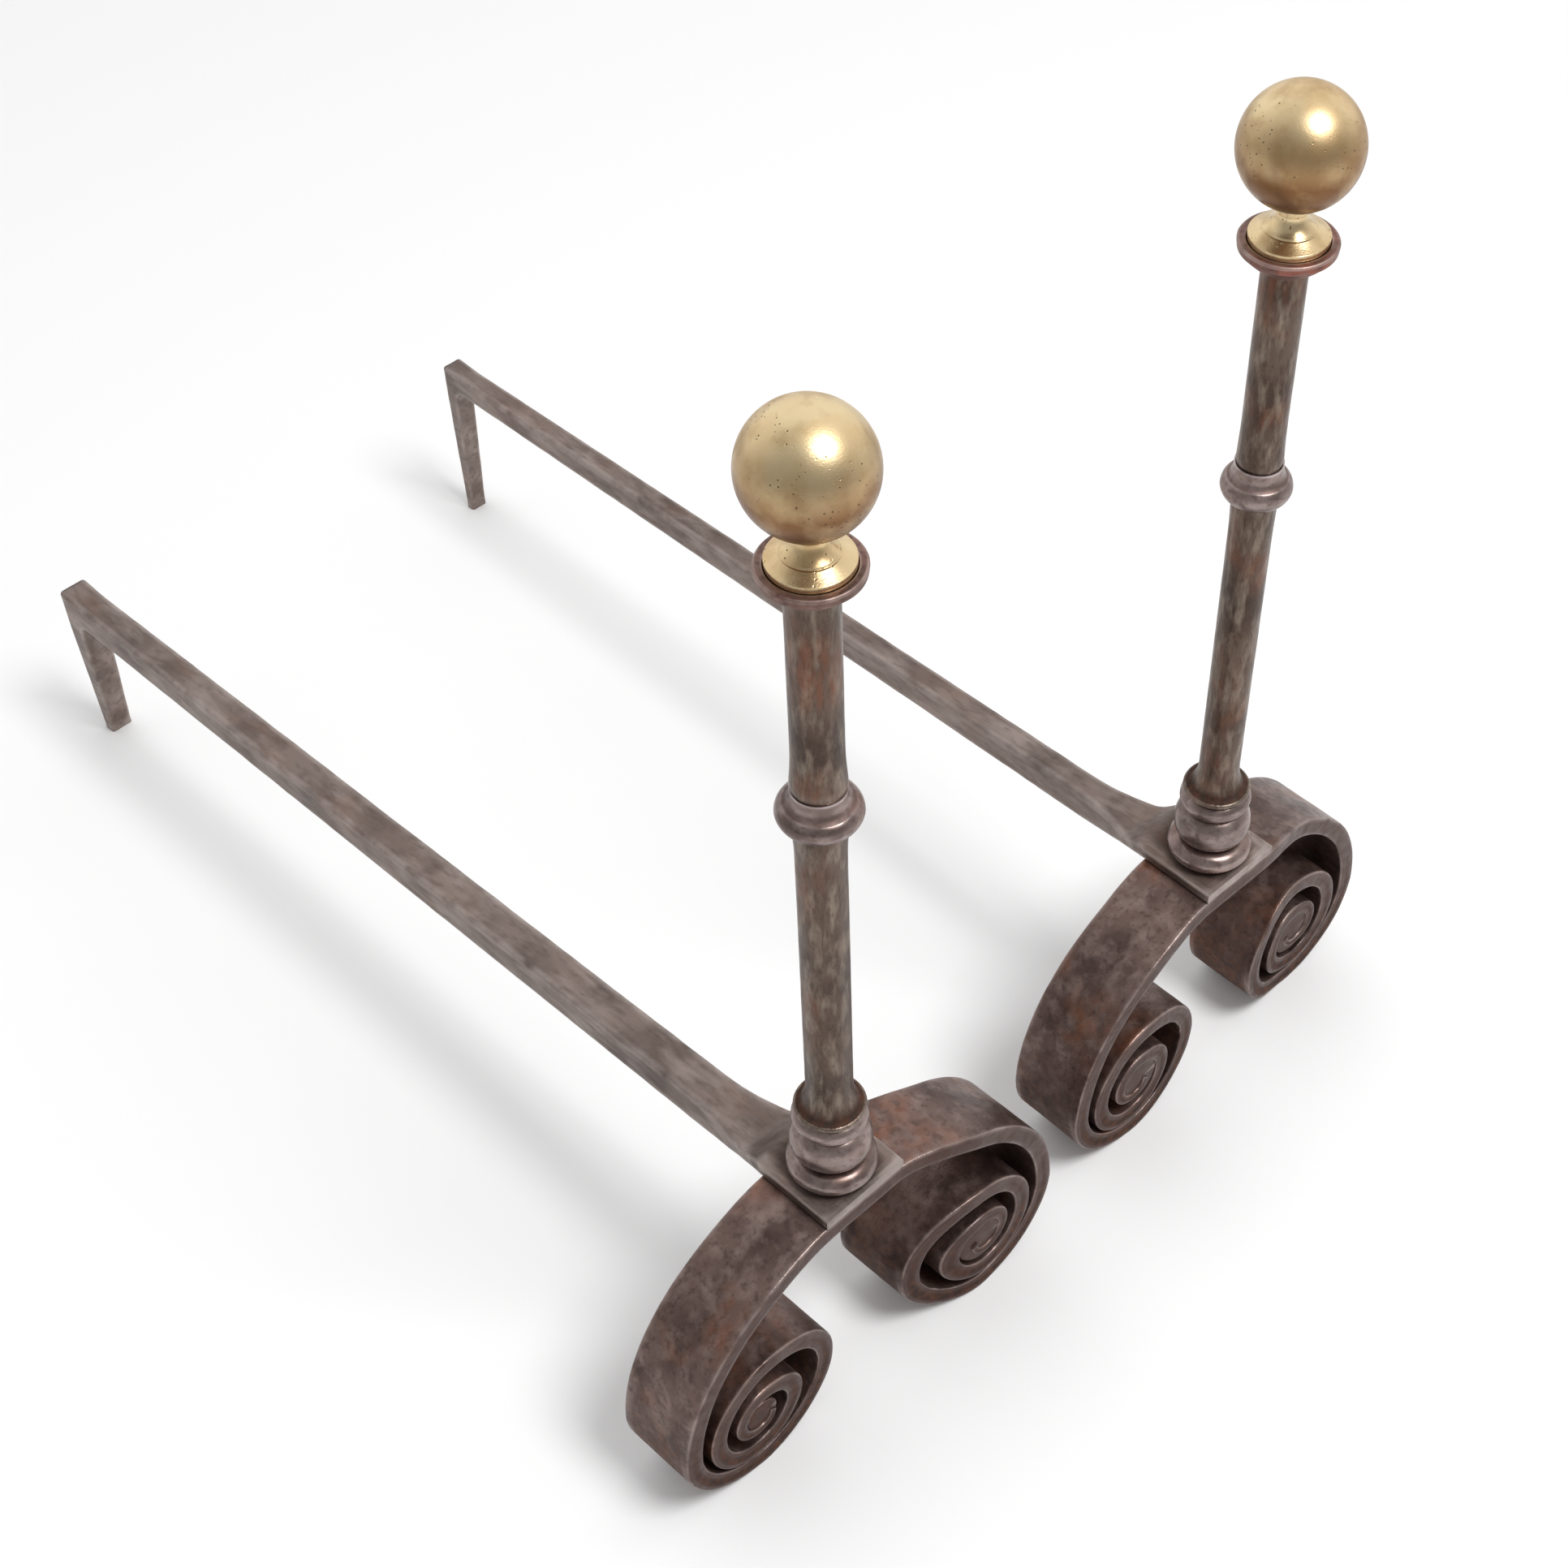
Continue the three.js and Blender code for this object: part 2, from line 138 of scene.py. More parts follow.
SAUCER_LIP = 7
STUD_BORE = 4.3
STUD_IN_POST = 20
SCRIBED_LINE = 11  # radius of the fine line cut in the top of the saucer
SCRIBED_DEPTH = 0.4
BALL_RADIUS = 25.5
BALL_SEAT = 20.7  # from the foot of the saucer to the lowest point of the ball
BALL_CENTRE = SAUCER_FOOT + BALL_SEAT + BALL_RADIUS

PAIR_SPLAY = math.radians(-1.3)  # turn of the far andiron about its post

# What the smith left different between the two: radii of the post, the collar and the two eyes, width
# and depth of the bar at its front and at its rear, its drop behind the pad, how far the post swells
# beside the collar, and how far each foot stands across and back from its proper place
Forging = namedtuple("Forging", "post collar eyes front rear drop swell left_foot right_foot")
NEAR_FORGING = Forging(post=10.6, collar=17.8, eyes=(OPEN_EYE, TIGHT_EYE), front=(22, 20.5),
                       rear=(17.5, 18.5), drop=16.6, swell=1.0, left_foot=(-3.5, -2), right_foot=(5, -9))
FAR_FORGING = Forging(post=9.9, collar=16, eyes=(TIGHT_EYE, TIGHT_EYE), front=(16.5, 18.5),
                      rear=(14.2, 14.6), drop=12.8, swell=0.5, left_foot=(-1, -3), right_foot=(0, 6))

# Roundings of arrises
POST_ROUNDING = 0.5
CUP_ROUNDING = 0.3
SAUCER_ROUNDING = 0.9

# Painted shade, with rust through it: how deep a corner each counts as where it lies thickest, and how far
# from there it runs out
FOOT_SHADE = (0.46, 92)
PAD_SHADE = (0.567, 45.9)
FLARE_SHADE = (0.26, 7)
CUP_SHADOW = (0.3, 12)
GROOVE_SHADE = 0.5
BOWL_SHADE = 0.3

# Fineness
TURN_STEPS = 96
ARC_STEPS = 8
SHOULDER_STEPS = 44
COIL_STEPS = 64  # in one turn
BAR_STEPS = (16, 14, 150, 12, 22)  # on the pad, the joggle, the bar, half the elbow and the leg
MESH_SPACING = 2.6
CUP_SPACING = 0.9
MERGE = 0.001
SHARP = math.radians(32)

# ---------------------------------------------------------------- ways of making a shape


def between(start, end, share):
    return start + (end - start) * share


def along(value, low, high):
    """How far a value has gone from low to high: 0 before the one and 1 after the other."""
    return min(max((value - low) / (high - low), 0), 1)


def eased(share):
    """The same share with a slow start and a slow end."""
    return share * share * (3 - 2 * share)


def arc(centre, radii, start, end, steps=ARC_STEPS):
    """Points of part of an ellipse, between two angles in degrees."""
    angles = [math.radians(between(start, end, step / steps)) for step in range(steps + 1)]
    return [(centre[0] + radii[0] * math.cos(a), centre[1] + radii[1] * math.sin(a)) for a in angles]


def bow(start, handle, end, steps=ARC_STEPS):
    """Points of a curve from start to end that leans towards its handle."""
    shares = [step / steps for step in range(steps + 1)]
    return [tuple(between(between(s, h, t), between(h, e, t), t) for s, h, e in zip(start, handle, end))
            for t in shares]


def filled(points, spacing):
    """The same line of points, with more of them wherever two lie far apart."""
    line = [points[0]]
    for start, end in zip(points, points[1:]):
        parts = max(1, round(math.dist(start, end) / spacing))
        line += [tuple(between(a, b, part / parts) for a, b in zip(start, end))
                 for part in range(1, parts + 1)]
    return line


def turned(profile):
    """A turned solid. Its profile, as radius and height, runs from pole to pole or round to its start."""
    bm = bmesh.new()
    verts = [bm.verts.new((radius, 0, height)) for radius, height in profile]
    edges = [bm.edges.new(pair) for pair in zip(verts, verts[1:])]
    bmesh.ops.spin(bm, geom=verts + edges, axis=(0, 0, 1), cent=(0, 0, 0), dvec=(0, 0, 0),
                   angle=2 * math.pi, steps=TURN_STEPS, use_merge=True)
    bmesh.ops.remove_doubles(bm, verts=bm.verts, dist=MERGE)
    bmesh.ops.recalc_face_normals(bm, faces=bm.faces)
    return bm


def softened(bm, width, segments=2):
    """Rounds every sharp edge."""
    sharp = [edge for edge in bm.edges if edge.is_manifold and edge.calc_face_angle() > SHARP]
    bmesh.ops.bevel(bm, geom=sharp, offset=width, offset_type="OFFSET", affect="EDGES", segments=segments,
                    profile=0.5, material=-1, clamp_overlap=True)
    return bm


def bar_outline(centre, across, outward, width, depth, corner, spacing=MESH_SPACING, size=None):
    """The outline of a bar where it is cut across, with rounded corners. Outlines that share a size
    have as many points each."""
    half_width, half_depth = width / 2 - corner, depth / 2 - corner
    turns = ((1, 1, 0), (-1, 1, 90), (-1, -1, 180), (1, -1, 270))
    corners = [arc((u * half_width, v * half_depth), (corner, corner), start, start + 90, 3)
               for u, v, start in turns]
    wide, deep = (round(length / spacing) for length in size or (width, depth))
    points = []
    for index, here in enumerate(corners):
        following = corners[(index + 1) % 4]
        parts = (wide, deep)[index % 2]
        points += here
        points += [tuple(between(a, b, part / parts) for a, b in zip(here[-1], following[0]))
                   for part in range(1, parts)]
    return [centre + across * u + outward * v for u, v in points]


def lofted(outlines):
    """A solid through a row of outlines: the first one's face is drawn out to each of the others."""
    bm = bmesh.new()
    face = bm.faces.new([bm.verts.new(point) for point in outlines[0]])
    for outline in outlines[1:]:
        made = bmesh.ops.extrude_face_region(bm, geom=[face])["geom"]
        face = next(part for part in made if isinstance(part, bmesh.types.BMFace))
        for vert, point in zip(face.verts, outline):
            vert.co = point
    bmesh.ops.recalc_face_normals(bm, faces=bm.faces)
    return bm


def joined(bm, *others):
    """One bmesh with the parts of several."""
    for other in others:
        part = bpy.data.meshes.new("part")
        other.to_mesh(part)
        other.free()
        bm.from_mesh(part)
        bpy.data.meshes.remove(part)
    return bm


# ---------------------------------------------------------------- strap

ACROSS_STRAP = Vector((0, 1, 0))


def strap_station(face, normal, thickness):
    outward = Vector((normal[0], 0, normal[1])).normalized()
    return Vector((face[0], 0, face[1])) - outward * thickness / 2, outward, thickness


def half_strap():
    """Places along the strap, from the middle of its top down the shoulder and in to the eye."""
    flat_steps = round(ARCH_FLAT / 2 / MESH_SPACING)
    crown = [(between(0, ARCH_FLAT / 2, step / flat_steps), ARCH_HEIGHT) for step in range(flat_steps)]
    stations = [strap_station(face, (0, 1), STRAP_THICKNESS) for face in crown]
    reach, drop = LEG_SPREAD / 2 - ARCH_FLAT / 2, ARCH_HEIGHT - EYE_HEIGHT
    for step in range(SHOULDER_STEPS):
        angle = math.pi / 2 * (1 - step / SHOULDER_STEPS)
        face = (ARCH_FLAT / 2 + reach * math.cos(angle), EYE_HEIGHT + drop * math.sin(angle))
        normal = (math.cos(angle) / reach, math.sin(angle) / drop)
        stations.append(strap_station(face, normal, STRAP_THICKNESS))
    inset = SCROLL_PITCH / (2 * math.pi)
    steps = round(COIL_TURNS * COIL_STEPS)
    for step in range(steps + 1):
        turn = COIL_TURNS * step / steps
        cos, sin = math.cos(2 * math.pi * turn), math.sin(2 * math.pi * turn)
        radius = SCROLL_RADIUS - SCROLL_PITCH * turn
        thinned = max(0, 1 - (COIL_TURNS - turn) / TIP_TURNS)
        settled = eased(along(turn, *SETTLING_TURNS))
        face = (EYE_REACH + COIL_SETTLING[0] * settled + radius * cos,
                EYE_HEIGHT + COIL_SETTLING[1] * settled - radius * sin)
        normal = (radius * cos + inset * sin, inset * cos - radius * sin)
        stations.append(strap_station(face, normal, between(STRAP_THICKNESS, TIP_THICKNESS, thinned)))
    return stations


def scroll_eye(side, eye_radius):
    """The round solid eye that the end of the strap is forged into."""
    half = STRAP_WIDTH / 2 - EYE_INSET
    rim = arc((eye_radius - EYE_ROUNDING, half - EYE_ROUNDING), (EYE_ROUNDING, EYE_ROUNDING), 0, 90)
    top = [*rim, (0, half)]
    bm = turned([(radius, -height) for radius, height in reversed(top)] + top)
    middle = (side * (EYE_REACH + COIL_SETTLING[0]), 0, EYE_HEIGHT + COIL_SETTLING[1])
    place = Matrix.Translation(middle) @ Matrix.Rotation(math.pi / 2, 4, "X")
    bmesh.ops.transform(bm, matrix=place, verts=bm.verts)
    return bm


def scroll_arch(forging):
    """The strap with both its eyes, and its feet where the smith left them."""
    right = half_strap()
    left = [(Vector((-centre.x, 0, centre.z)), Vector((-outward.x, 0, outward.z)), thickness)
            for centre, outward, thickness in right[1:]]
    outlines = [bar_outline(centre, ACROSS_STRAP, outward, STRAP_WIDTH, thickness, STRAP_CORNER,
                            size=(STRAP_WIDTH, STRAP_THICKNESS))
                for centre, outward, thickness in left[::-1] + right]
    bm = joined(lofted(outlines), scroll_eye(-1, forging.eyes[0]), scroll_eye(1, forging.eyes[1]))
    for vert in bm.verts:
        foot = forging.right_foot if vert.co.x > 0 else forging.left_foot
        share = eased(along(abs(vert.co.x), ARCH_FLAT / 2, EYE_REACH))
        vert.co += Vector((*foot, 0)) * share
        vert.co.z = max(vert.co.z, 0)
    # Painted shade that darkens the strap and its scrolls towards the floor
    return shade_marked(bm, lambda place: fading(FOOT_SHADE, place.z))


# ---------------------------------------------------------------- billet bar

ACROSS_BAR = Vector((-1, 0, 0))
BAR_SIZE = (26, 18)  # the outline that gives every other its count of points


def bar_station(inner, outer, width, corner):
    inner, outer = Vector((0, *inner)), Vector((0, *outer))
    depth = (outer - inner).length
    outward = (outer - inner) / depth
    return bar_outline((inner + outer) / 2, ACROSS_BAR, outward, width, depth, corner, size=BAR_SIZE)


def splayed(y, at_pad, on_bar):
    """A size that runs out slowly from its value at the pad to the one it has along the bar."""
    pad_end = STRAP_WIDTH / 2 + CLEARANCE
    share = along(y, pad_end, pad_end + SPLAY_LENGTH)
    return between(at_pad, on_bar, share * (2 - share))


def billet_bar(forging):
    """The pad on the arch, the joggle behind it, the tapered bar and the rear leg, in one forging."""
    joggle_start = STRAP_WIDTH / 2 + CLEARANCE
    joggle_end = joggle_start + JOGGLE_LENGTH
    front, rear = forging.front, forging.rear
    front_top = PAD_TOP - forging.drop
    rear_top = front_top - BAR_FALL
    stations = []
    pad_steps, joggle_steps, bar_steps, elbow_steps, leg_steps = BAR_STEPS

    for step in range(pad_steps):
        y = between(-STRAP_WIDTH / 2, joggle_start, step / pad_steps)
        stations.append(((y, ARCH_HEIGHT), (y, PAD_TOP), PAD_LENGTH, PAD_CORNER))
    for step in range(joggle_steps + 1):
        share = step / joggle_steps
        y = between(joggle_start, joggle_end, share)
        top = between(PAD_TOP, front_top, eased(share))
        underside, width = splayed(y, ARCH_HEIGHT, front_top - front[1]), splayed(y, PAD_LENGTH, front[0])
        stations.append(((y, underside), (y, top), width, between(PAD_CORNER, BAR_CORNER, share)))

    leg_top, leg_foot = ([share * size for share, size in zip(shares, rear)]
                         for shares in (LEG_TOP, LEG_FOOT))
    fillet_y = BAR_REACH - leg_top[1] - LEG_FILLET
    fillet_z = rear_top - rear[1] - LEG_FILLET
    across, rise = BAR_REACH - fillet_y, rear_top - fillet_z
    for step in range(1, bar_steps):
        share = step / bar_steps
        y = between(joggle_end, fillet_y, share)
        top = between(front_top, rear_top, share)
        depth, width = between(front[1], rear[1], share), between(front[0], rear[0], share)
        underside = splayed(y, top - depth + ARCH_HEIGHT - front_top + front[1], top - depth)
        width = splayed(y, width + PAD_LENGTH - front[0], width)
        stations.append(((y, underside), (y, top), width, BAR_CORNER))

    # Round the elbow, every outline turns about the middle of the inner fillet and reaches out square
    corner_angle = math.atan2(rise, across)
    angles = [between(math.pi / 2, corner_angle, step / elbow_steps) for step in range(elbow_steps + 1)]
    angles += [between(corner_angle, 0, step / elbow_steps) for step in range(1, elbow_steps + 1)]
    for angle in angles:
        cos, sin = math.cos(angle), math.sin(angle)
        length = rise / sin if angle >= corner_angle else across / cos
        share = 1 - angle / (math.pi / 2)
        stations.append(((fillet_y + LEG_FILLET * cos, fillet_z + LEG_FILLET * sin),
                         (fillet_y + length * cos, fillet_z + length * sin),
                         between(rear[0], leg_top[0], share), between(BAR_CORNER, LEG_CORNER, share)))
    for step in range(1, leg_steps + 1):
        share = step / leg_steps
        z = between(fillet_z, 0, share)
        width, depth = (between(top, foot, share) for top, foot in zip(leg_top, leg_foot))
        stations.append(((BAR_REACH - depth, z), (BAR_REACH, z), width, LEG_CORNER))
    bar = lofted([bar_station(*station) for station in stations])
    # Painted shade on the pad and bar, darkest round the foot of the post
    return shade_marked(bar, lambda place: fading(PAD_SHADE, math.hypot(place.x, place.y)))


# ---------------------------------------------------------------- turned pieces


def post_shaft(forging):
    """The post, with its tenon and rivet head below, its flared shoulder and the hole for the stud. It
    swells a little on each side of the collar."""
    washer_foot = STRAP_UNDERSIDE - WASHER_THICKNESS
    lip = SHOULDER_EDGE / 2
    flare = (SHOULDER_RADIUS - lip - forging.post, FLARE_HEIGHT - SHOULDER_EDGE)
    profile = arc((0, washer_foot), (RIVET_RADIUS, RIVET_HEIGHT), -90, 0)
    profile += [(TENON_RADIUS, washer_foot), (TENON_RADIUS, SHOULDER)]
    profile += arc((SHOULDER_RADIUS - lip, SHOULDER + lip), (lip, lip), -90, 80)
    profile += arc((SHOULDER_RADIUS - lip, SHOULDER + FLARE_HEIGHT), flare, -90, -180, 2 * ARC_STEPS)
    ends = (COLLAR_MIDDLE - COLLAR_BELOW, COLLAR_MIDDLE + COLLAR_ABOVE + COLLAR_SWEEP)
    straight = [(forging.post, SHOULDER + FLARE_HEIGHT), (forging.post, CUP_FOOT)]
    for radius, height in filled(straight, MESH_SPACING)[1:]:
        away = max(ends[0] - height, height - ends[1])
        swell = forging.swell * math.exp(-((away / SWELL_LENGTH) ** 2)) if away > 0 else 0
        profile.append((radius + swell, height))
    profile += [(STUD_BORE, CUP_FOOT), (STUD_BORE, CUP_FOOT - STUD_IN_POST), (0, CUP_FOOT - STUD_IN_POST)]
    post = softened(turned(profile), POST_ROUNDING)
    # Painted shade in the hollow at the foot of the flare, and the cup's shadow painted on the post below it
    flare_foot = SHOULDER + SHOULDER_EDGE
    return shade_marked(post, lambda place: max(fading(FLARE_SHADE, abs(place.z - flare_foot)),
                                          fading(CUP_SHADOW, CUP_FOOT - place.z)))


def ring(size, foot):
    """A ring with a rounded rim that draws in where it meets its neighbours."""
    radius, height, depth = size
    groove = radius - depth
    rim = arc((groove, foot + height / 2), (depth, height / 2), -90, 90, 4 * ARC_STEPS)
    bead = turned([(TENON_BORE, foot), *rim, (TENON_BORE, foot + height), (TENON_BORE, foot)])
    # Painted shade, deepest in the grooves where the ring meets its neighbours
    return shade_marked(bead, lambda place: GROOVE_SHADE * ((radius - math.hypot(place.x, place.y)) / depth) ** 3)


def mid_collar(forging):
    """The collar: a bead with a steep underside, drawn up to a thin lip on the post."""
    bore = forging.post + CLEARANCE
    lip, bead_foot = bore + COLLAR_LIP, bore + COLLAR_STEP
    underside, sweep_foot = COLLAR_MIDDLE - COLLAR_BELOW, COLLAR_MIDDLE + COLLAR_ABOVE
    lean = (between(bead_foot, forging.collar, COLLAR_LEAN), between(COLLAR_MIDDLE, underside, COLLAR_LEAN))
    below = bow((bead_foot, underside), lean, (forging.collar, COLLAR_MIDDLE), 2 * ARC_STEPS)
    bead = (forging.collar - bead_foot, COLLAR_ABOVE)
    above = arc((bead_foot, COLLAR_MIDDLE), bead, 0, COLLAR_ROUND, 2 * ARC_STEPS)
    sweep = bow(above[-1], (lip, sweep_foot), (lip, sweep_foot + COLLAR_SWEEP), 2 * ARC_STEPS)
    outside = [*below, *above[1:], *sweep[1:]]
    return turned([(bore, underside), *outside, (bore, outside[-1][1]), (bore, underside)])


def finial_cup(forging):
    """The cup: a shallow bowl that opens from the post to an upright rim, with a recess for the saucer."""
    rim_top = CUP_FOOT + CUP_HEIGHT
    rim_foot = rim_top - CUP_RIM[1]
    ledge = CUP_RADIUS - CUP_LEDGE
    belly = (ledge - CUP_BELLY, CUP_FOOT + CUP_BELLY)
    bowl = bow((CUP_NECK, CUP_FOOT), belly, (ledge, rim_foot - CUP_LEDGE / 2), 2 * ARC_STEPS)
    rim = [(CUP_RADIUS - CUP_LEAN, rim_foot), (CUP_RADIUS, rim_top - CUP_ARRIS[1]),
           (CUP_RADIUS - CUP_ARRIS[0], rim_top)]
    recess = CUP_RADIUS - CUP_RIM[0]
    profile = [(STUD_BORE, CUP_FOOT), *bowl, *rim, (recess, rim_top), (recess, SAUCER_FOOT),
               (STUD_BORE, SAUCER_FOOT), (STUD_BORE, CUP_FOOT)]
    cup = softened(turned(filled(profile, CUP_SPACING)), CUP_ROUNDING)
    # Painted shade on the bowl below the rim; the top of the rim stays clear of it
    return shade_marked(cup, lambda place: BOWL_SHADE * min(rim_top - 1 - place.z, 1))


def finial_saucer(forging):
    """The saucer: a disc in the cup's recess that sweeps up to a neck, hollowed on top to seat the ball.
    A fine line is scribed round its top."""
    rim = SAUCER_FOOT + SAUCER_RIM
    neck = rim + SAUCER_RISE
    seat = BALL_RADIUS + CLEARANCE
    lip, bottom = ((radius, BALL_CENTRE - math.sqrt(seat ** 2 - radius ** 2))
                   for radius in (SAUCER_LIP, STUD_BORE))
    handle = (SAUCER_NECK, rim + SAUCER_RISE / 2)
    sweep = bow((SAUCER_RADIUS, rim), handle, (SAUCER_NECK, neck), 6 * ARC_STEPS)
    sweep = [(radius, height - SCRIBED_DEPTH * max(0, 1 - abs(radius - SCRIBED_LINE) / SCRIBED_DEPTH))
             for radius, height in sweep]
    profile = [(STUD_BORE, SAUCER_FOOT), (SAUCER_RADIUS, SAUCER_FOOT), *sweep, lip, bottom,
               (STUD_BORE, SAUCER_FOOT)]
    return softened(turned(profile), SAUCER_ROUNDING, 4)


def finial_ball(forging):
    return turned(arc((0, BALL_CENTRE), (BALL_RADIUS, BALL_RADIUS), -90, 90, 8 * ARC_STEPS))


# ---------------------------------------------------------------- surfaces left by the hammer and by wear


def hammered(bm, depth, spacing, shift):
    """Lowers the surface unevenly by up to a depth, in dents of about that spacing with smaller ones
    between them, and never raises it. What stands on the floor stays flat."""
    bm.normal_update()
    for vert in bm.verts:
        spot = (vert.co + shift) / spacing
        share = 0.5 + 0.35 * noise.noise(spot) + 0.25 * noise.noise(spot * 2.3)
        if vert.co.z > depth:
            vert.co -= vert.normal * depth * along(share, 0, 1)
    return bm


def relief_layer(bm):
    return bm.verts.layers.float.get("relief") or bm.verts.layers.float.new("relief")


def shade_marked(bm, depth_at):
    """Marks the places that take painted shade, with rust through it, as if they lay in a corner of that
    depth.
    """
    layer = relief_layer(bm)
    for vert in bm.verts:
        vert[layer] = -along(depth_at(vert.co), 0, 1)
    return bm


def fading(soot, distance):
    """Painted shade at a distance from where it lies thickest."""
    depth, reach = soot
    return depth * (1 - distance / reach)


def mark_relief(bm, smoothing=2):
    """Stores how far each point stands out as an edge, above 0, or lies in a corner, below 0."""
    layer = relief_layer(bm)
    bm.verts.ensure_lookup_table()
    values = []
    for vert in bm.verts:
        angles = [edge.calc_face_angle_signed(0) for edge in vert.link_edges if edge.is_manifold]
        values.append(sum(angles))
    neighbours = [[edge.other_vert(vert).index for edge in vert.link_edges] for vert in bm.verts]
    for _ in range(smoothing):
        values = [(value + sum(values[i] for i in near) / max(len(near), 1)) / 2
                  for value, near in zip(values, neighbours)]
    for vert, value in zip(bm.verts, values):
        vert[layer] += value
    return bm


def hex_colour(text):
    """An sRGB hex colour as the linear one that a shader takes."""
    channels = (int(text[i:i + 2], 16) / 255 for i in (0, 2, 4))
    return (*(c / 12.92 if c <= 0.04045 else ((c + 0.055) / 1.055) ** 2.4 for c in channels), 1)


# ---------------------------------------------------------------- materials


def add_node(tree, kind, sockets, **settings):
    """Adds a node with its settings. Each of its inputs is set to a value or linked to an output."""
    made = tree.nodes.new("ShaderNode" + kind)
    for name, value in settings.items():
        setattr(made, name, value)
    for socket, value in sockets.items():
        if isinstance(value, bpy.types.NodeSocket):
            tree.links.new(value, made.inputs[socket])
        else:
            made.inputs[socket].default_value = value
    return made


def patches(tree, place, size, low, high, detail=3):
    """A mask of patches of about a size in millimetres: 0 up to the low level of the noise, and 1 from the
    high one."""
    cloud = add_node(tree, "TexNoise", {"Vector": place, "Scale": 1 / (size * MM), "Detail": detail})
    return ramp(tree, cloud.outputs[0], low, high)


def ramp(tree, value, low, high, start=0, end=1):
    """A value that runs from start to end as another one goes from low to high."""
    levels = {"Value": value, "From Min": low, "From Max": high, "To Min": start, "To Max": end}
    return add_node(tree, "MapRange", levels).outputs[0]


def product(tree, *values):
    result = values[0]
    for value in values[1:]:
        result = add_node(tree, "Math", {0: result, 1: value}, operation="MULTIPLY").outputs[0]
    return result


def over(tree, under, colour, share):
    """A colour laid over another one by a share."""
    return add_node(tree, "Mix", {0: share, 6: under, 7: colour}, data_type="RGBA").outputs[2]


def new_material(name, metallic):
    """A material with nothing but its shader, and the place of each point in metres."""
    material = bpy.data.materials.new(name)
    material.use_nodes = True
    tree = material.node_tree
    shader = next(node for node in tree.nodes if node.type == "BSDF_PRINCIPLED")
    shader.inputs["Metallic"].default_value = metallic
    place = add_node(tree, "TexCoord", {}).outputs["Object"]
    return material, tree, shader, place


def roughened(tree, shader, coarse, fine, depths):
    """Bump of two grains, each with its own depth in millimetres."""
    deep = add_node(tree, "Bump", {"Height": coarse, "Distance": depths[0] * MM})
    grit = add_node(tree, "Bump", {"Height": fine, "Distance": depths[1] * MM, "Normal": deep.outputs[0]})
    tree.links.new(grit.outputs[0], shader.inputs["Normal"])


# Colours of each iron: its hollows, its skin, its lighter streaks, its rubbed edges and its rust
STRAP_COLOURS = ("3E2F2C", "6C5852", "917E77", "B7A8A3", "8A5538")
BAR_COLOURS = ("594C47", "7D6F68", "A4968F", "BCAFAA", "7A5A4A")
POST_COLOURS = ("3B2D26", "605046", "998B7C", "B0A298", "754630")
MOULDING_COLOURS = ("50423F", "86756F", "AC9B98", "C8BABA", "844A34")
CUP_COLOURS = ("3A2A28", "80635A", "A08478", "C4AFA6", "9C5240")
# The colour of the shade painted into corners and hollows
SHADE_COLOUR = "40302A"
# A darker red-brown, painted as shade on faces that look to the front
FRONT_SHADE_COLOUR = "40241B"
METALLIC_SKIN = 0.78  # iron under a skin that is mostly oxide

# Colours of the brass: dull, bright, clouded, painted shade below, and in its pits
BRASS_COLOURS = ("CFB184", "E0CAA0", "A4855A", "6E4729", "4A3824")


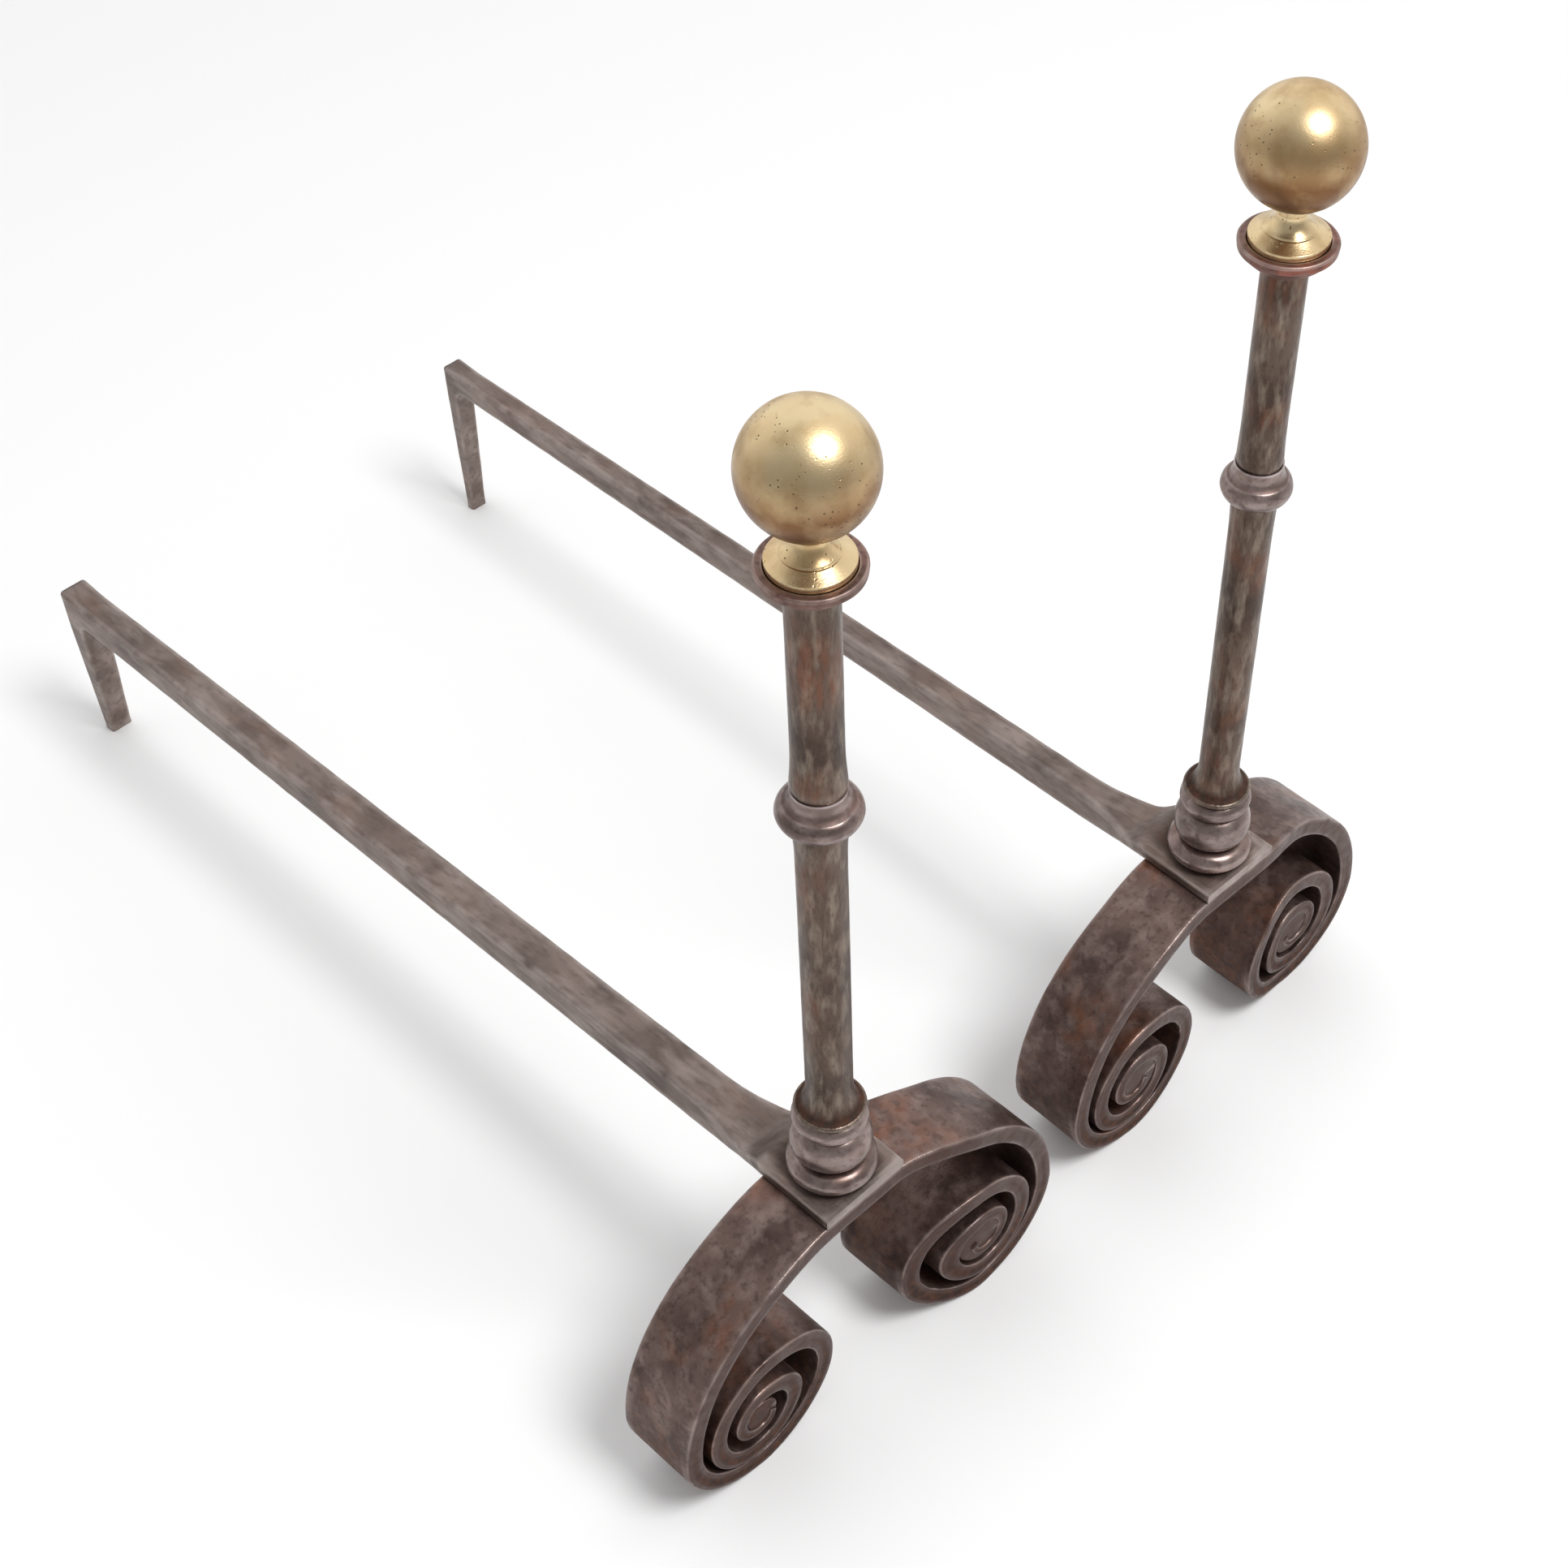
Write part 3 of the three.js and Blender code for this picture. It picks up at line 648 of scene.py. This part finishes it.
def wrought_iron(name, stretch, colours, rust, roughness, wear, grain=(0.12, 0.05), front_shade=0):
    """Wrought iron, forged and drawn under the hammer and blackened by the fire, then handled for years:
    a mottled brown skin with soft streaks along the bar, painted shade with rust through it in the corners,
    a pinkish grey shine on the edges, and a darker red-brown painted as shade on faces that look to the
    front."""
    dark, middle, light, worn, rusty = (hex_colour(colour) for colour in colours)
    material, tree, shader, place = new_material(name, METALLIC_SKIN)
    drawn = add_node(tree, "Mapping", {"Vector": place, "Scale": stretch}).outputs[0]
    relief = add_node(tree, "Attribute", {}, attribute_name="relief").outputs["Fac"]

    # Broad clouds, lighter streaks of 9 mm and flakes of scale of 3.4 mm
    colour = over(tree, dark, middle, patches(tree, place, 34, 0.3, 0.56, 4))
    colour = over(tree, colour, light, product(tree, patches(tree, drawn, 9, 0.46, 0.72, 5), 0.6))
    scale_spots = product(tree, patches(tree, drawn, 3.4, 0.52, 0.68, 3), 0.5)
    colour = over(tree, colour, dark, scale_spots)
    # Rust, in spots of 7 mm that gather in some places
    rusted_places = patches(tree, place, 42, 0.5, 0.68, 2)
    rust_spots = product(tree, rusted_places, patches(tree, drawn, 7, 0.34, 0.66, 5), rust)
    colour = over(tree, colour, rusty, rust_spots)
    # Faces that look to the front take a darker red-brown: painted shade
    if front_shade:
        normal = add_node(tree, "NewGeometry", {}).outputs["Normal"]
        facing = add_node(tree, "SeparateXYZ", {0: normal}).outputs["Y"]
        front_faces = ramp(tree, facing, -0.75, -0.92)
        colour = over(tree, colour, hex_colour(FRONT_SHADE_COLOUR), product(tree, front_faces, front_shade))
    # Painted shade in the corners, with rust through it, and metal rubbed bright on the edges
    corners = ramp(tree, relief, -0.04, -0.34)
    rust_in_shade = product(tree, patches(tree, place, 4, 0.4, 0.64, 3), 0.4)
    shade_and_rust = over(tree, hex_colour(SHADE_COLOUR), rusty, rust_in_shade)
    colour = over(tree, colour, shade_and_rust, product(tree, corners, 0.85))
    edges = ramp(tree, relief, 0.22, 0.9)
    rubbed = product(tree, edges, patches(tree, place, 14, 0.3, 0.6, 3))
    colour = over(tree, colour, worn, product(tree, rubbed, wear))
    tree.links.new(colour, shader.inputs["Base Color"])

    uneven = patches(tree, drawn, 6, 0.3, 0.7, 4)
    skin = ramp(tree, uneven, 0, 1, roughness - 0.06, roughness + 0.1)
    tree.links.new(ramp(tree, corners, 0, 1, skin, 0.75), shader.inputs["Roughness"])
    roughened(tree, shader, uneven, patches(tree, place, 1.1, 0.3, 0.7, 2), grain)
    return material


def satin_brass(name, middle_height, roughness):
    """Cast and turned brass, rubbed to a satin and dulled by handling and smoke: a pale soft gold with
    brown painted shade below and fine dark pits where the casting was porous."""
    dull, bright, clouded, shaded_below, pitted = (hex_colour(colour) for colour in BRASS_COLOURS)
    material, tree, shader, place = new_material(name, 1)
    height = add_node(tree, "SeparateXYZ", {0: place}).outputs["Z"]

    colour = over(tree, dull, bright, patches(tree, place, 26, 0.36, 0.62, 4))
    clouds = patches(tree, place, 11, 0.48, 0.72, 5)
    colour = over(tree, colour, clouded, product(tree, clouds, 0.55))

    # Painted shade, in patches, begins 19 mm above the middle and is full 4 mm below it
    under = ramp(tree, height, (middle_height + 19) * MM, (middle_height - 4) * MM)
    lower_shade = product(tree, under, patches(tree, place, 18, 0, 0.5, 4), 0.92)
    colour = over(tree, colour, shaded_below, lower_shade)

    # Pits of about 0.5 mm, 2.4 mm apart, gathered in porous places
    grains = add_node(tree, "TexVoronoi", {"Vector": place, "Scale": 1 / (2.4 * MM)}).outputs["Distance"]
    pits = product(tree, ramp(tree, grains, 0.2, 0.11), patches(tree, place, 15, 0.5, 0.58, 2))
    colour = over(tree, colour, pitted, product(tree, pits, 0.8))
    tree.links.new(colour, shader.inputs["Base Color"])

    tree.links.new(ramp(tree, clouds, 0, 1, roughness, roughness + 0.12), shader.inputs["Roughness"])
    roughened(tree, shader, ramp(tree, pits, 0, 1, 1, 0), patches(tree, place, 0.9, 0.3, 0.7, 3), (0.1, 0.02))
    return material


forged_strap = wrought_iron("forged_wrought_iron_strap", (1, 1, 1), STRAP_COLOURS,
                            rust=0.65, roughness=0.37, wear=0.42, front_shade=0.86)
drawn_bar = wrought_iron("drawn_wrought_iron_bar", (1, 0.3, 1), BAR_COLOURS,
                         rust=0.35, roughness=0.42, wear=0.5)
drawn_post = wrought_iron("drawn_wrought_iron_post", (2.2, 2.2, 0.6), POST_COLOURS,
                          rust=0.7, roughness=0.34, wear=0.5)
turned_iron = wrought_iron("turned_wrought_iron_mouldings", (1, 1, 1.6), MOULDING_COLOURS,
                           rust=0.3, roughness=0.27, wear=0.7, grain=(0.02, 0.008))
cup_iron = wrought_iron("rusted_wrought_iron_cup", (1, 1, 1.6), CUP_COLOURS,
                        rust=1, roughness=0.46, wear=0.8, grain=(0.06, 0.03))
ball_brass = satin_brass("satin_turned_brass_ball", BALL_CENTRE, roughness=0.33)
# Its middle is taken so low that the saucer gets none of the painted shade
saucer_brass = satin_brass("satin_turned_brass_saucer", SAUCER_FOOT - BALL_RADIUS, roughness=0.26)

# ---------------------------------------------------------------- the pair

# Name, shape, material, slot of the record, depth of its dents and how far apart they lie
PIECES = (
    ("scroll_arch", scroll_arch, forged_strap, "forged_iron", 0.35, 17),
    ("billet_bar", billet_bar, drawn_bar, "forged_iron", 0.45, 15),
    ("post_shaft", post_shaft, drawn_post, "forged_iron", 0.15, 14),
    ("lower_ring", lambda forging: ring(LOWER_RING, PAD_TOP), turned_iron, "turned_iron", 0.1, 9),
    ("torus_ring", lambda forging: ring(TORUS_RING, TORUS_FOOT), turned_iron, "turned_iron", 0.1, 9),
    ("upper_ring", lambda forging: ring(UPPER_RING, UPPER_FOOT), turned_iron, "turned_iron", 0.1, 9),
    ("mid_collar", mid_collar, turned_iron, "turned_iron", 0.15, 9),
    ("finial_cup", finial_cup, cup_iron, "turned_iron", 0.15, 9),
    ("finial_saucer", finial_saucer, saucer_brass, "brass", 0, 9),
    ("finial_ball", finial_ball, ball_brass, "brass", 0, 9),
)


def add_piece(prefix, place, forging, shift, name, shape, material, slot, dents, dent_spacing):
    """A finished piece in place of the CAD node of its name."""
    bm = shape(forging)
    if dents:
        hammered(bm, dents, dent_spacing, shift)
    mark_relief(bm)
    bmesh.ops.transform(bm, matrix=place @ Matrix.Scale(MM, 4), verts=bm.verts)
    for face in bm.faces:
        face.smooth = True
    for edge in bm.edges:
        edge.smooth = not (edge.is_manifold and edge.calc_face_angle() > SHARP)
    mesh = bpy.data.meshes.new(f"{prefix}_{name}_dressed")
    bm.to_mesh(mesh)
    bm.free()
    mesh.materials.append(material)
    piece = bpy.data.objects.new(mesh.name, mesh)
    bpy.context.scene.collection.objects.link(piece)
    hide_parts(f"{prefix}_{name}")
    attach(piece, "root")
    return piece


# Name, turn, forging, and a shift of the dents, so that the two are not dented alike
PAIR = (
    ("near", 0, NEAR_FORGING, Vector((0, 0, 0))),
    ("far", PAIR_SPLAY, FAR_FORGING, Vector((310, 170, 90))),
)
for prefix, turn, forging, shift in PAIR:
    low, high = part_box(f"{prefix}_post_shaft")
    axis = (low + high) / 2
    place = Matrix.Translation((axis.x, axis.y, 0)) @ Matrix.Rotation(turn, 4, "Z")
    for row in PIECES:
        add_piece(prefix, place, forging, shift, *row)
    for name in ("tenon_washer", "finial_stud"):
        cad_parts[f"{prefix}_{name}"].data.materials.clear()
        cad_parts[f"{prefix}_{name}"].data.materials.append(forged_strap)

# ---------------------------------------------------------------- floor, light and camera


FLOOR_REACH = 12  # metres, as all that follows


def plain_floor():
    """A wide pale floor that keeps the shadow, part of the studio and not of the object."""
    bm = bmesh.new()
    bmesh.ops.create_grid(bm, x_segments=1, y_segments=1, size=FLOOR_REACH)
    mesh = bpy.data.meshes.new("studio_floor")
    bm.to_mesh(mesh)
    bm.free()
    floor = bpy.data.objects.new("studio_floor", mesh)
    bpy.context.scene.collection.objects.link(floor)
    material = bpy.data.materials.new("matt_white_floor")
    material.use_nodes = True
    shader = next(node for node in material.node_tree.nodes if node.type == "BSDF_PRINCIPLED")
    shader.inputs["Base Color"].default_value = hex_colour("F5F5F5")
    shader.inputs["Roughness"].default_value = 0.9
    shader.inputs["Specular IOR Level"].default_value = 0
    mesh.materials.append(material)


def soft_lamp(name, place, aim, size, power):
    lamp = bpy.data.lights.new(name, "AREA")
    lamp.shape = "DISK"
    lamp.size = size
    lamp.energy = power
    lamp_object = bpy.data.objects.new(name, lamp)
    lamp_object.location = place
    lamp_object.rotation_euler = (Vector(aim) - Vector(place)).to_track_quat("-Z", "Y").to_euler()
    bpy.context.scene.collection.objects.link(lamp_object)


def studio_world():
    """A white backdrop all round to the camera. What lights the pair is bright beyond it and dimmer on
    the camera's side, as in a room with one white wall."""
    world = bpy.data.worlds.new("white_studio")
    world.use_nodes = True
    tree = world.node_tree
    background = next(node for node in tree.nodes if node.type == "BACKGROUND")
    background.inputs["Color"].default_value = (1, 1, 1, 1)
    towards = add_node(tree, "TexCoord", {}).outputs["Generated"]
    into_view = (0.72, 0.69, 0)
    beyond = add_node(tree, "VectorMath", {0: towards, 1: into_view}, operation="DOT_PRODUCT")
    wall = ramp(tree, beyond.outputs["Value"], -0.5, 0.6, 0.42, 1.1)
    seen = add_node(tree, "LightPath", {}).outputs["Is Camera Ray"]
    tree.links.new(ramp(tree, seen, 0, 1, wall, 1), background.inputs["Strength"])
    bpy.context.scene.world = world


def photograph_camera():
    """The camera where the photograph was taken from, worked out from the balls, rings and bars."""
    image_side = 1932
    focal_length = 3178.75  # in pixels of that image, as the two places below
    axis_x, axis_y = 1112.69, 1084.15
    azimuth, down = math.radians(45.96), math.radians(48.61)
    place = (-0.5956, -0.78806, 1.106)
    data = bpy.data.cameras.new("photograph_camera")
    data.sensor_width = 36
    data.lens = data.sensor_width * focal_length / image_side
    data.shift_x = (image_side / 2 - axis_x) / image_side
    data.shift_y = (axis_y - image_side / 2) / image_side
    data.clip_end = 50
    camera = bpy.data.objects.new("photograph_camera", data)
    level = math.cos(down)
    forward = Vector((math.sin(azimuth) * level, math.cos(azimuth) * level, -math.sin(down)))
    turn = forward.to_track_quat("-Z", "Y").to_matrix().to_4x4()
    camera.matrix_world = Matrix.Translation(place) @ turn
    bpy.context.scene.collection.objects.link(camera)
    bpy.context.scene.camera = camera


plain_floor()
studio_world()
soft_lamp("key_softbox", place=(0.33, -1.75, 3.13), aim=(0, -0.2, 0.25), size=1.3, power=66)
photograph_camera()
bpy.context.scene.view_settings.view_transform = "Standard"
